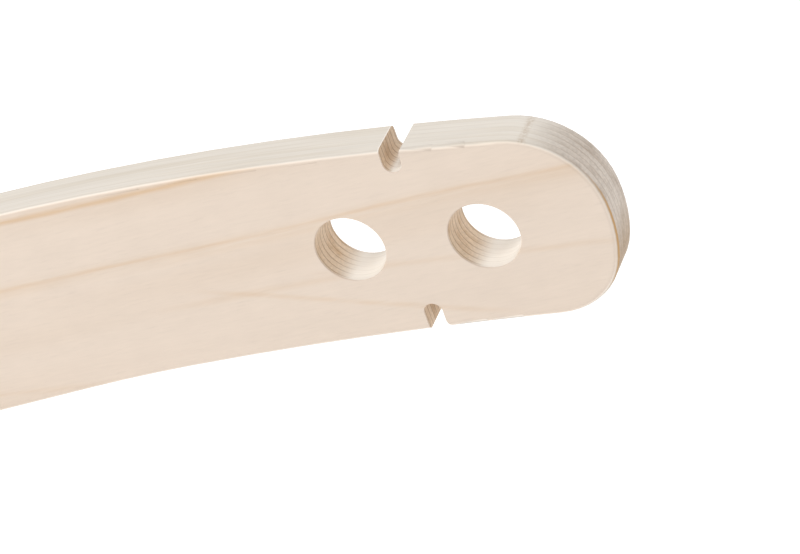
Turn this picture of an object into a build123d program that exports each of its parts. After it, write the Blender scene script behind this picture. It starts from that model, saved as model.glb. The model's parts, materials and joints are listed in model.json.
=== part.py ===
from build123d import *

import os
from math import sqrt

# Base bar of a violin shoulder rest: a flat bar of glued wood veneers, cut to a shallow arch.
# Millimetres. +X runs along the bar, +Z across its width and +Y through its thickness.
# The bar stands on its arched lower edge, and its front face looks along -Y.
# The outline is drawn for the right half, with z = 0 at the inner hole, and then mirrored.

# Holes for the feet, two at each end
HOLE_RADIUS = 5.0
HOLE_SPACING = 19.4
INNER_HOLE_X = 80.5

# The line through the two holes of an end droops by this angle below the bar's long axis
END_DROOP = 7.2

# Glued stack, from face to face
CORE_VENEER = 1.0
CORE_COUNT = 6
FACE_VENEER = 0.4
THICKNESS = CORE_COUNT * CORE_VENEER + 2 * FACE_VENEER

# Upper edge: level in the middle, then one long arc down to each end
UPPER_RADIUS = 455.4
UPPER_LEVEL_HALF = 28.4
UPPER_LEVEL_Z = 17.7

# Lower edge: a slight belly in the middle, a straight taper, then one long arc to each end
BELLY_HALF = 14.0
BELLY_Z = -13.75
BELLY_END_Z = -13.5
TAPER_END_X = 38.5
TAPER_BLEND_RADIUS = 300.0
LOWER_RADIUS = 638.0
LOWER_CREST_X = 34.5
LOWER_CREST_Z = -12.62

# Rounded end: a crown between two round corners
CROWN_RADIUS = 21.3
CROWN_CENTRE_X = 96.6
CROWN_CENTRE_Z = -1.6
UPPER_CORNER_RADIUS = 12.6
LOWER_CORNER_RADIUS = 10.9

# Notches in both long edges, between the holes, measured from the inner hole along the hole line.
# Each is cut square across the rounded arrises, from its round root to past the edge, and its corner
# towards the bar's end is rounded over, by an arc that reaches just past the edge.
NOTCH_WIDTH = 2.7
NOTCH_LENGTH = 9.0
UPPER_NOTCH = 10.2
UPPER_NOTCH_ROOT = 11.1
UPPER_NOTCH_MOUTH = 14.85
LOWER_NOTCH = 8.6
LOWER_NOTCH_ROOT = -9.7
LOWER_NOTCH_MOUTH = -13.85
MOUTH_RADIUS = 1.4

# Sanded roundings of the outline's arrises, outside the notches, and of the holes' rims
ARRIS_RADIUS = 0.8
RIM_RADIUS = 0.15

PAST_END_X = 125.0


def arc_point(crest_x, crest_z, radius, x):
    """Point at x on the upper part of a circle whose highest point is the crest."""
    drop = radius - sqrt(radius**2 - (x - crest_x) ** 2)
    return (x, crest_z - drop)


def add_notch(centre, root, mouth):
    """Add the outline of a notch, with its corner towards the bar's end rounded over."""
    outward = 1 if mouth > root else -1
    wall = centre + NOTCH_WIDTH / 2
    with Locations((wall + MOUTH_RADIUS / 2, mouth - outward * MOUTH_RADIUS / 2)):
        Rectangle(MOUTH_RADIUS, MOUTH_RADIUS)
    with Locations((wall + MOUTH_RADIUS, mouth - outward * MOUTH_RADIUS)):
        Circle(MOUTH_RADIUS, mode=Mode.SUBTRACT)
    with Locations((centre, root + outward * NOTCH_LENGTH / 2)):
        SlotOverall(NOTCH_LENGTH, NOTCH_WIDTH, rotation=90)


# Everything that the rounded end may fill
with BuildSketch(Plane.XZ) as end_limit:
    with Locations((CROWN_CENTRE_X, CROWN_CENTRE_Z)):
        Circle(CROWN_RADIUS)
    with Locations((CROWN_CENTRE_X / 2, CROWN_CENTRE_Z)):
        Rectangle(CROWN_CENTRE_X, 4 * CROWN_RADIUS)

upper_start = (UPPER_LEVEL_HALF, UPPER_LEVEL_Z)
upper_end = arc_point(UPPER_LEVEL_HALF, UPPER_LEVEL_Z, UPPER_RADIUS, PAST_END_X)
lower_start = arc_point(LOWER_CREST_X, LOWER_CREST_Z, LOWER_RADIUS, TAPER_END_X)
lower_end = arc_point(LOWER_CREST_X, LOWER_CREST_Z, LOWER_RADIUS, PAST_END_X)
hole_line = Location((INNER_HOLE_X, 0, 0), (0, 0, -END_DROOP))

with BuildSketch(Plane.XZ) as half_outline:
    with BuildLine():
        Line((0, BELLY_Z), (0, UPPER_LEVEL_Z))
        Line((0, UPPER_LEVEL_Z), upper_start)
        RadiusArc(upper_start, upper_end, UPPER_RADIUS)
        Line(upper_end, lower_end)
        RadiusArc(lower_start, lower_end, LOWER_RADIUS)
        Line((BELLY_HALF, BELLY_END_Z), lower_start)
        TangentArc((0, BELLY_Z), (BELLY_HALF, BELLY_END_Z), tangent=(1, 0))
    make_face()
    add(end_limit.sketch_local, mode=Mode.INTERSECT)
    lower_corner, upper_corner = vertices().sort_by(Axis.X)[-2:].sort_by(Axis.Y)
    fillet(lower_corner, LOWER_CORNER_RADIUS)
    upper_corner = vertices().sort_by_distance(upper_corner)[0]
    fillet(upper_corner, UPPER_CORNER_RADIUS)
    fillet(vertices().sort_by_distance((*lower_start, 0))[0], TAPER_BLEND_RADIUS)
    with Locations(hole_line):
        with Locations((0, 0), (HOLE_SPACING, 0)):
            Circle(HOLE_RADIUS, mode=Mode.SUBTRACT)

with BuildSketch(Plane.XZ) as half_notches:
    with Locations(hole_line):
        add_notch(UPPER_NOTCH, UPPER_NOTCH_ROOT, UPPER_NOTCH_MOUTH)
        add_notch(LOWER_NOTCH, LOWER_NOTCH_ROOT, LOWER_NOTCH_MOUTH)

back_plane = Plane.XZ.offset(-THICKNESS / 2)
with BuildSketch(back_plane) as outline:
    add(half_outline.sketch_local)
    mirror(about=Plane.YZ)

with BuildSketch(back_plane) as notches:
    add(half_notches.sketch_local)
    mirror(about=Plane.YZ)

# The glued and sanded bar in one piece, standing on z = 0
with BuildPart() as blank:
    extrude(outline.sketch, amount=THICKNESS)
    circles = edges().filter_by(GeomType.CIRCLE)
    fillet([edge for edge in circles if abs(edge.radius - HOLE_RADIUS) < 0.01], RIM_RADIUS)
    wide_faces = faces().filter_by(Plane.XZ).sort_by(SortBy.AREA)[-2:]
    fillet([edge for face in wide_faces for edge in face.outer_wire().edges()], ARRIS_RADIUS)
    extrude(notches.sketch, amount=THICKNESS, mode=Mode.SUBTRACT)
lift = -blank.part.bounding_box().min.Z
bar = blank.part.moved(Location((0, 0, lift)))

# Each veneer is the slice of the bar between two glue lines, from the front face to the back
layers = [("front_face_veneer", FACE_VENEER)]
layers += [(f"core_veneer_{number}", CORE_VENEER) for number in range(1, CORE_COUNT + 1)]
layers += [("back_face_veneer", FACE_VENEER)]

os.makedirs("parts", exist_ok=True)
front = THICKNESS / 2
for node, depth in layers:
    with BuildPart() as veneer:
        add(bar)
        split(bisect_by=Plane.XZ.offset(front), keep=Keep.BOTTOM)
        split(bisect_by=Plane.XZ.offset(front - depth), keep=Keep.TOP)
    veneer.part.label = node
    export_step(veneer.part, f"parts/{node}.step")
    front -= depth

print(f"inner hole at x {INNER_HOLE_X}, z {lift:.3f}")
print(f"bar {bar.bounding_box().size}")
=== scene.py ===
import json
import math

import bpy
from mathutils import Matrix, Vector


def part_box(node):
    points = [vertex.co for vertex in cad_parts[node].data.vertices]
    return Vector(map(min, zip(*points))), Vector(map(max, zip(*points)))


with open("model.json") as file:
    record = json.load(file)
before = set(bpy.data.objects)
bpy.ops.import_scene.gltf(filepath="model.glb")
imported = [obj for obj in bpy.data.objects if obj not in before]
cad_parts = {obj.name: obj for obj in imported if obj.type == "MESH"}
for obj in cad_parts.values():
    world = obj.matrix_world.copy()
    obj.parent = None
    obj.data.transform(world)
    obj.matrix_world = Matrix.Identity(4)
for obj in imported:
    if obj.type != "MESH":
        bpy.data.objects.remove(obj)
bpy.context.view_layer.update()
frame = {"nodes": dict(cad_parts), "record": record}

MM = 0.001

# Camera: a long lens that looks down on the right end, rolled so that the bar runs uphill.
# It aims at a point of the front face, placed from the axis of the right end's inner hole.
CAMERA_SENSOR = 36.0
CAMERA_LENS = 144.0
CAMERA_AZIMUTH = 31.26
CAMERA_ELEVATION = 25.9
CAMERA_ROLL = 27.19
CAMERA_DISTANCE = 0.4259
AIM_FROM_HOLE = Vector((4.97 * MM, 0, -5.68 * MM))

# Soft studio light, and a floor that glows enough to stay white in the bar's shadow
WORLD_STRENGTH = 0.70
KEY_POWER = 11.0
KEY_PLACE = (-0.70, -0.80, 0.80)
KEY_SIZE = 0.5
BACK_POWER = 6.5
BACK_PLACE = (0.25, 0.90, 0.90)
BACK_SIZE = 0.8
FLOOR_SIZE = 6.0
FLOOR_WHITE = 0.30
FLOOR_ROUGHNESS = 0.9
FLOOR_GLOW = 0.90

# Wood colours: wide face, long-grain edge, sanded end grain, and the walls of holes and notches
PALE = (0.593, 0.50, 0.419, 1)
TAN = (0.55, 0.443, 0.35, 1)
STREAK = (0.50, 0.315, 0.155, 1)
EDGE_PALE = (0.635, 0.585, 0.52, 1)
EDGE_TAN = (0.59, 0.53, 0.45, 1)
END_PALE = (0.58, 0.51, 0.445, 1)
END_DARK = (0.42, 0.345, 0.28, 1)
# Painted light: the long-grain walls of holes and notches are painted paler, in place of light
# bounced into them
BORED_EDGE_BOUNCE_LIT = (0.76, 0.715, 0.65, 1)
BORED_PALE = (0.68, 0.545, 0.41, 1)
BORED_DARK = (0.50, 0.34, 0.20, 1)
GLUE = (0.25, 0.14, 0.07, 1)
SEAM = (0.48, 0.28, 0.11, 1)
# Brown of the mark across the upper edge, also used for the painted shade low on the ends
BROWN_MARK_AND_SHADE = (0.36, 0.25, 0.15, 1)

# The face's wood reaches this far round the rounded arris, where the edge's wood has taken over
FACE_DEPTH = 0.32 * MM
FACE_FULL = 0.024 * MM

# Painted highlight: an arris is painted paler than the surfaces beside it, by a quarter of this in
# its middle
ARRIS_HIGHLIGHT_GAIN = 0.9

# Glue lines fade out at the first distance from a veneer's side, and are full at the second
GLUE_REACH = 0.13 * MM
GLUE_FULL = 0.02 * MM
SEAM_REACH = 0.22 * MM
SEAM_FULL = 0.08 * MM

# Painted shade: the ends are painted darker and browner from the first height down to the second,
# where they turn down away from the light
END_SHADE_TOP = 14 * MM
END_SHADE_FULL = 5 * MM
END_SHADE_STRENGTH = 0.85

# A thin brown mark across the upper edge, near the right end
MARK_ALONG = 110.5 * MM
MARK_HALF_WIDTH = 0.7 * MM
MARK_CORE = 0.1 * MM
MARK_STRENGTH = 0.5

# Cut walls are found from each hole's axis, and from each notch's line, which is measured along
# the line of the holes from the inner hole. A notch is further than its root from that line.
HOLE_REACH = 6.0 * MM
NOTCH_LINES = [(10.2 * MM, 1), (8.6 * MM, -1)]
NOTCH_REACH = 1.5 * MM
NOTCH_ROOT = 8.5 * MM

# Darker streaks in the wide faces: height at the bar's middle, rise, half width, strength,
# and the stretch along the bar, all in millimetres apart from the rise and the strength
FRONT_STREAKS = [
    (33.6, -0.022, 0.8, 0.55, (-20, 74)),
    (22.6, -0.008, 0.55, 0.22, (-90, 125)),
    (22.3, -0.010, 1.8, 0.16, (-60, 125)),
    (15.4, -0.030, 0.9, 0.16, (52, 84)),
    (33.2, -0.315, 0.7, 0.22, (58, 96)),
    (23.0, -0.117, 0.8, 0.17, (76, 121)),
    (7.4, -0.090, 0.8, 0.22, (-60, 32)),
    (12.0, 0.060, 1.0, 0.18, (-110, -25)),
    (27.5, 0.045, 0.6, 0.25, (-118, -50)),
]
BACK_STREAKS = [
    (26.0, 0.012, 0.9, 0.30, (-120, 60)),
    (17.5, -0.020, 0.5, 0.28, (-70, 120)),
    (9.5, 0.025, 1.2, 0.20, (-50, 95)),
    (30.5, -0.045, 0.7, 0.30, (20, 110)),
]
STREAKS = {"front_face_veneer": FRONT_STREAKS, "back_face_veneer": BACK_STREAKS}

# A streak sways by this much in all, and fades over twice this much of the bar at each end
STREAK_SWAY = 1.5
STREAK_FADE = 8


def mount_place(name):
    """Where the record puts a mount, on the bar's middle plane."""
    mounts = {mount["name"]: mount for mount in frame["record"]["mounts"]}
    return Vector(mounts[name]["pos_m"])


def make_camera():
    """Look down on the right end from the front and the right."""
    aim = mount_place("right_inner_foot_hole") + AIM_FROM_HOLE
    aim.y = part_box("front_face_veneer")[0].y
    azimuth = math.radians(CAMERA_AZIMUTH)
    elevation = math.radians(CAMERA_ELEVATION)
    back = Vector((
        math.sin(azimuth) * math.cos(elevation),
        -math.cos(azimuth) * math.cos(elevation),
        math.sin(elevation),
    ))
    data = bpy.data.cameras.new("camera")
    data.sensor_width = CAMERA_SENSOR
    data.lens = CAMERA_LENS
    data.clip_start = 0.01
    data.clip_end = 20
    camera = bpy.data.objects.new("camera", data)
    bpy.context.scene.collection.objects.link(camera)
    level = (-back).to_track_quat("-Z", "Y").to_matrix().to_4x4()
    roll = Matrix.Rotation(math.radians(-CAMERA_ROLL), 4, "Z")
    camera.matrix_world = Matrix.Translation(aim + back * CAMERA_DISTANCE) @ level @ roll
    bpy.context.scene.camera = camera


def make_floor():
    """A plain white floor under the bar."""
    bpy.ops.mesh.primitive_plane_add(size=FLOOR_SIZE)
    floor = bpy.context.object
    floor.name = "floor"
    material = bpy.data.materials.new("floor")
    material.use_nodes = True
    shader = material.node_tree.nodes["Principled BSDF"]
    shader.inputs["Base Color"].default_value = (FLOOR_WHITE, FLOOR_WHITE, FLOOR_WHITE, 1)
    shader.inputs["Roughness"].default_value = FLOOR_ROUGHNESS
    shader.inputs["Emission Color"].default_value = (1, 1, 1, 1)
    shader.inputs["Emission Strength"].default_value = FLOOR_GLOW
    floor.data.materials.append(material)


def area_light(name, place, size, power):
    """A square light that faces the right end's inner hole."""
    data = bpy.data.lights.new(name, "AREA")
    data.shape = "SQUARE"
    data.size = size
    data.energy = power
    light = bpy.data.objects.new(name, data)
    light.location = place
    towards = mount_place("right_inner_foot_hole") - Vector(place)
    light.rotation_euler = towards.to_track_quat("-Z", "Y").to_euler()
    bpy.context.scene.collection.objects.link(light)


def make_lights():
    """An even white surround, a key light from the front left and a softer one from behind."""
    world = bpy.data.worlds.new("studio")
    world.use_nodes = True
    background = world.node_tree.nodes["Background"]
    background.inputs["Color"].default_value = (1, 1, 1, 1)
    background.inputs["Strength"].default_value = WORLD_STRENGTH
    bpy.context.scene.world = world
    area_light("key", KEY_PLACE, KEY_SIZE, KEY_POWER)
    area_light("back", BACK_PLACE, BACK_SIZE, BACK_POWER)


class Graph:
    """A short way to wire the nodes of one material."""

    def __init__(self, name):
        self.material = bpy.data.materials.new(name)
        self.material.use_nodes = True
        self.tree = self.material.node_tree
        self.shader = self.tree.nodes["Principled BSDF"]

    def put(self, socket, value):
        """Link a socket's value into another socket, or set a plain value there."""
        if isinstance(value, bpy.types.NodeSocket):
            self.tree.links.new(value, socket)
        elif value is not None:
            socket.default_value = value

    def math(self, operation, a, b=None, c=None, clamp=False):
        """One Math node."""
        node = self.tree.nodes.new("ShaderNodeMath")
        node.operation = operation
        node.use_clamp = clamp
        for socket, value in zip(node.inputs, (a, b, c)):
            self.put(socket, value)
        return node.outputs[0]

    def less(self, a, b):
        """The first value less the second."""
        return self.math("SUBTRACT", a, b)

    def apart(self, a, b):
        """How far apart two values are."""
        return self.math("ABSOLUTE", self.less(a, b))

    def times(self, first, *others):
        """The product of several values."""
        product = first
        for value in others:
            product = self.math("MULTIPLY", product, value)
        return product

    def measure(self, operation, a, b):
        """One number from two vectors, such as their distance."""
        node = self.tree.nodes.new("ShaderNodeVectorMath")
        node.operation = operation
        self.put(node.inputs[0], a)
        self.put(node.inputs[1], b)
        return node.outputs["Value"]

    def join(self, x, y, z):
        """A vector from its three parts."""
        node = self.tree.nodes.new("ShaderNodeCombineXYZ")
        for socket, value in zip(node.inputs, (x, y, z)):
            self.put(socket, value)
        return node.outputs[0]

    def split(self, vector):
        """The three parts of a vector."""
        node = self.tree.nodes.new("ShaderNodeSeparateXYZ")
        self.put(node.inputs[0], vector)
        return node.outputs

    def place(self):
        """The point on the bar, in metres."""
        return self.tree.nodes.new("ShaderNodeTexCoord").outputs["Object"]

    def normal(self):
        """The direction that the surface faces, in the bar's own frame."""
        return self.tree.nodes.new("ShaderNodeTexCoord").outputs["Normal"]

    def smooth(self, value, none, full):
        """Change smoothly from 0 where the value is none to 1 where it is full."""
        node = self.tree.nodes.new("ShaderNodeMapRange")
        node.interpolation_type = "SMOOTHSTEP"
        self.put(node.inputs["Value"], value)
        self.put(node.inputs["From Min"], none)
        self.put(node.inputs["From Max"], full)
        return node.outputs["Result"]

    def noise(self, vector, scale, seed, detail=2.0, roughness=0.5):
        """Noise from 0 to 1, with the scale in cells per metre along, through and up the bar."""
        stretch = self.tree.nodes.new("ShaderNodeVectorMath")
        stretch.operation = "MULTIPLY_ADD"
        self.put(stretch.inputs[0], vector)
        stretch.inputs[1].default_value = scale
        stretch.inputs[2].default_value = (seed * 3.7, seed * 7.1, seed * 5.3)
        node = self.tree.nodes.new("ShaderNodeTexNoise")
        self.put(node.inputs["Vector"], stretch.outputs[0])
        node.inputs["Scale"].default_value = 1
        node.inputs["Detail"].default_value = detail
        node.inputs["Roughness"].default_value = roughness
        return node.outputs["Fac"]

    def mix(self, factor, a, b):
        """The first colour where the factor is 0, and the second where it is 1."""
        node = self.tree.nodes.new("ShaderNodeMix")
        node.data_type = "RGBA"
        self.put(node.inputs[0], factor)
        self.put(node.inputs[6], a)
        self.put(node.inputs[7], b)
        return node.outputs[2]

    def scaled(self, colour, factor):
        """A colour multiplied by a factor that varies over the surface."""
        node = self.tree.nodes.new("ShaderNodeVectorMath")
        node.operation = "SCALE"
        self.put(node.inputs[0], colour)
        self.put(node.inputs["Scale"], factor)
        return node.outputs[0]

    def varied(self, colour, noise, spread):
        """A colour that noise makes lighter and darker, by about the spread each way."""
        node = self.tree.nodes.new("ShaderNodeMapRange")
        node.clamp = False
        self.put(node.inputs["Value"], noise)
        node.inputs["From Min"].default_value = 0.25
        node.inputs["From Max"].default_value = 0.75
        node.inputs["To Min"].default_value = 1 - spread
        node.inputs["To Max"].default_value = 1 + spread
        return self.scaled(colour, node.outputs["Result"])

    def bump(self, height, strength, distance):
        """Raise the surface where the height is large."""
        node = self.tree.nodes.new("ShaderNodeBump")
        node.inputs["Strength"].default_value = strength
        node.inputs["Distance"].default_value = distance
        self.put(node.inputs["Height"], height)
        self.put(self.shader.inputs["Normal"], node.outputs[0])


def streak_mask(graph, place, streaks, seed):
    """How strongly a wide face's darker streaks show at a point."""
    along, _, height = graph.split(place)
    wobble = graph.noise(place, (35, 0, 60), seed + 0.3, 3, 0.6)
    ragged = graph.noise(place, (60, 0, 1400), seed + 0.6, 3, 0.6)
    total = 0.0
    for middle, rise, half_width, strength, (start, end) in streaks:
        line = graph.math("MULTIPLY_ADD", along, rise, (middle - STREAK_SWAY / 2) * MM)
        line = graph.math("MULTIPLY_ADD", wobble, STREAK_SWAY * MM, line)
        near = graph.smooth(graph.apart(height, line), half_width * MM, 0.0)
        fade_in = graph.smooth(along, (start - STREAK_FADE) * MM, (start + STREAK_FADE) * MM)
        fade_out = graph.smooth(along, (end + STREAK_FADE) * MM, (end - STREAK_FADE) * MM)
        total = graph.math("ADD", graph.times(fade_in, fade_out, near, strength), total)
    return graph.math("MULTIPLY", total, graph.smooth(ragged, 0.15, 0.6), clamp=True)


def cut_mask(graph, along, height):
    """1 on the walls of the holes and notches, and 0 on the outer edges, the same at both ends."""
    flat = graph.join(graph.math("ABSOLUTE", along), 0.0, height)
    inner = mount_place("right_inner_foot_hole")
    outer = mount_place("right_outer_foot_hole")
    line = (outer - inner).normalized()
    across = Vector((-line.z, 0, line.x))
    mask = 0.0
    for hole in (inner, outer):
        near = graph.math("LESS_THAN", graph.measure("DISTANCE", flat, tuple(hole)), HOLE_REACH)
        mask = graph.math("MAXIMUM", near, mask)
    run = graph.less(graph.measure("DOT_PRODUCT", flat, tuple(line)), inner.dot(line))
    rise = graph.less(graph.measure("DOT_PRODUCT", flat, tuple(across)), inner.dot(across))
    for centre, side in NOTCH_LINES:
        near = graph.math("LESS_THAN", graph.apart(run, centre), NOTCH_REACH)
        out = graph.math("GREATER_THAN", graph.times(rise, side), NOTCH_ROOT)
        mask = graph.math("MAXIMUM", graph.times(near, out), mask)
    return mask


def face_mask(graph, across):
    """1 on the wide faces, fading out round their arrises."""
    below_front = graph.less(across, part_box("front_face_veneer")[0].y)
    below_back = graph.less(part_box("back_face_veneer")[1].y, across)
    below = graph.math("MINIMUM", below_front, below_back)
    return graph.smooth(below, FACE_DEPTH, FACE_FULL)


def end_mask(graph):
    """1 where a wall is cut across the grain, and 0 where it runs along the grain."""
    facing_x = graph.split(graph.normal())[0]
    return graph.smooth(graph.math("ABSOLUTE", facing_x), 0.35, 0.92)


def mark_mask(graph, along, height, pores):
    """The brown mark across the upper edge."""
    mark = graph.smooth(graph.apart(along, MARK_ALONG), MARK_HALF_WIDTH, MARK_CORE)
    upper = graph.smooth(height, 18 * MM, 22 * MM)
    return graph.times(mark, upper, graph.smooth(pores, 0.3, 0.7), MARK_STRENGTH)


def glue_mask(graph, name, across, cut, endness):
    """Glue lines on both sides of a veneer, much darker where they cross end grain."""
    low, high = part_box(name)
    depth = graph.math("MINIMUM", graph.less(across, low.y), graph.less(high.y, across))
    line = graph.smooth(depth, GLUE_REACH, GLUE_FULL)
    on_end = graph.math("MULTIPLY_ADD", cut, 0.30, 0.22)
    return graph.times(line, graph.math("MULTIPLY_ADD", endness, on_end, 0.08))


def seam_mask(graph, across, height, cut, endness):
    """The seam behind the front face veneer, which shows orange-brown low on the ends."""
    off = graph.apart(across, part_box("front_face_veneer")[1].y)
    line = graph.smooth(off, SEAM_REACH, SEAM_FULL)
    low_down = graph.smooth(height, 22 * MM, 12 * MM)
    return graph.times(line, low_down, graph.less(1.0, cut), endness)


def face_colour(graph, place, fibres, streaks, seed):
    """Wide face: broad soft figure, fine fibres, short flecks and a few darker streaks."""
    broad = graph.noise(place, (7, 30, 95), seed, 2)
    middle = graph.noise(place, (22, 60, 420), seed + 1, 2)
    flecks = graph.noise(place, (420, 3500, 3500), seed + 3, 2)
    mottle = graph.noise(place, (130, 200, 130), seed + 4, 3)
    face = graph.mix(graph.smooth(broad, 0.42, 0.85), PALE, TAN)
    face = graph.mix(streak_mask(graph, place, streaks, seed), face, STREAK)
    face = graph.varied(face, middle, 0.012)
    face = graph.varied(face, fibres, 0.026)
    face = graph.varied(face, mottle, 0.018)
    return graph.varied(face, graph.smooth(flecks, 0.78, 0.55), 0.010)


def edge_colour(graph, place, cut, mark, seed):
    """Long-grain edge: close straight lines along the bar, with painted light making it paler on the
    cut walls.
    """
    lines = graph.noise(place, (28, 3200, 900), seed + 5, 3, 0.6)
    bands = graph.noise(place, (16, 900, 300), seed + 6, 1)
    edge = graph.mix(graph.smooth(bands, 0.40, 0.80), EDGE_PALE, EDGE_TAN)
    # Painted light on the long-grain walls of holes and notches
    edge = graph.mix(cut, edge, BORED_EDGE_BOUNCE_LIT)
    edge = graph.varied(edge, lines, 0.055)
    return graph.mix(mark, edge, BROWN_MARK_AND_SHADE)


def end_colour(graph, place, height, cut, pores, seed):
    """End grain: darker and stippled with pores, with painted shade making it darker and browner low
    on the bar's ends.
    """
    rings = graph.noise(place, (60, 700, 260), seed + 8, 2)
    dark_rings = graph.smooth(rings, 0.40, 0.85)
    sanded = graph.mix(dark_rings, END_PALE, END_DARK)
    # Painted shade: darker and browner low on the ends
    low_down = graph.smooth(height, END_SHADE_TOP, END_SHADE_FULL)
    sanded = graph.mix(graph.times(low_down, END_SHADE_STRENGTH), sanded, BROWN_MARK_AND_SHADE)
    bored = graph.mix(dark_rings, BORED_PALE, BORED_DARK)
    return graph.varied(graph.mix(cut, sanded, bored), pores, 0.13)


def veneer_material(name, seed):
    """Pale wood with its grain along the bar, its end grain, and the glue lines on both its sides."""
    graph = Graph(name)
    place = graph.place()
    along, across, height = graph.split(place)
    cut = cut_mask(graph, along, height)
    facing = face_mask(graph, across)
    endness = end_mask(graph)
    fibres = graph.noise(place, (240, 2500, 2300), seed + 2, 3, 0.6)
    pores = graph.noise(place, (2600, 2600, 2600), seed + 7, 2)
    mark = mark_mask(graph, along, height, pores)

    face = face_colour(graph, place, fibres, STREAKS.get(name, []), seed)
    edge = edge_colour(graph, place, cut, mark, seed)
    end = end_colour(graph, place, height, cut, pores, seed)
    side = graph.mix(endness, edge, end)
    side = graph.mix(glue_mask(graph, name, across, cut, endness), side, GLUE)
    side = graph.mix(seam_mask(graph, across, height, cut, endness), side, SEAM)

    # Painted highlight: the rounded arrises of the long edges are painted paler
    colour = graph.mix(facing, side, face)
    long_edge = graph.less(1.0, graph.math("MAXIMUM", cut, endness))
    arris_highlight = graph.times(facing, graph.less(1.0, facing), long_edge)
    colour = graph.scaled(colour, graph.math("MULTIPLY_ADD", arris_highlight, ARRIS_HIGHLIGHT_GAIN, 1.0))
    graph.put(graph.shader.inputs["Base Color"], colour)

    # Satin wood, rougher on fibres and end grain, with fibres and pores in relief
    rough = graph.math("MULTIPLY_ADD", fibres, 0.12, 0.40)
    rough = graph.math("MULTIPLY_ADD", endness, 0.18, rough)
    graph.put(graph.shader.inputs["Roughness"], rough)
    graph.shader.inputs["Specular IOR Level"].default_value = 0.35
    relief = graph.math("ADD", fibres, graph.times(pores, endness, 2.0))
    graph.bump(relief, 0.25, 0.03 * MM)
    return graph.material


def finish_veneers():
    """Give each veneer a wood of its own, with its own place in the noise."""
    for index, name in enumerate(sorted(frame["nodes"])):
        veneer = frame["nodes"][name]
        veneer.data.materials.clear()
        veneer.data.materials.append(veneer_material(name, 1.37 * index + 2))


bpy.context.scene.view_settings.view_transform = "Standard"
finish_veneers()
make_camera()
make_floor()
make_lights()
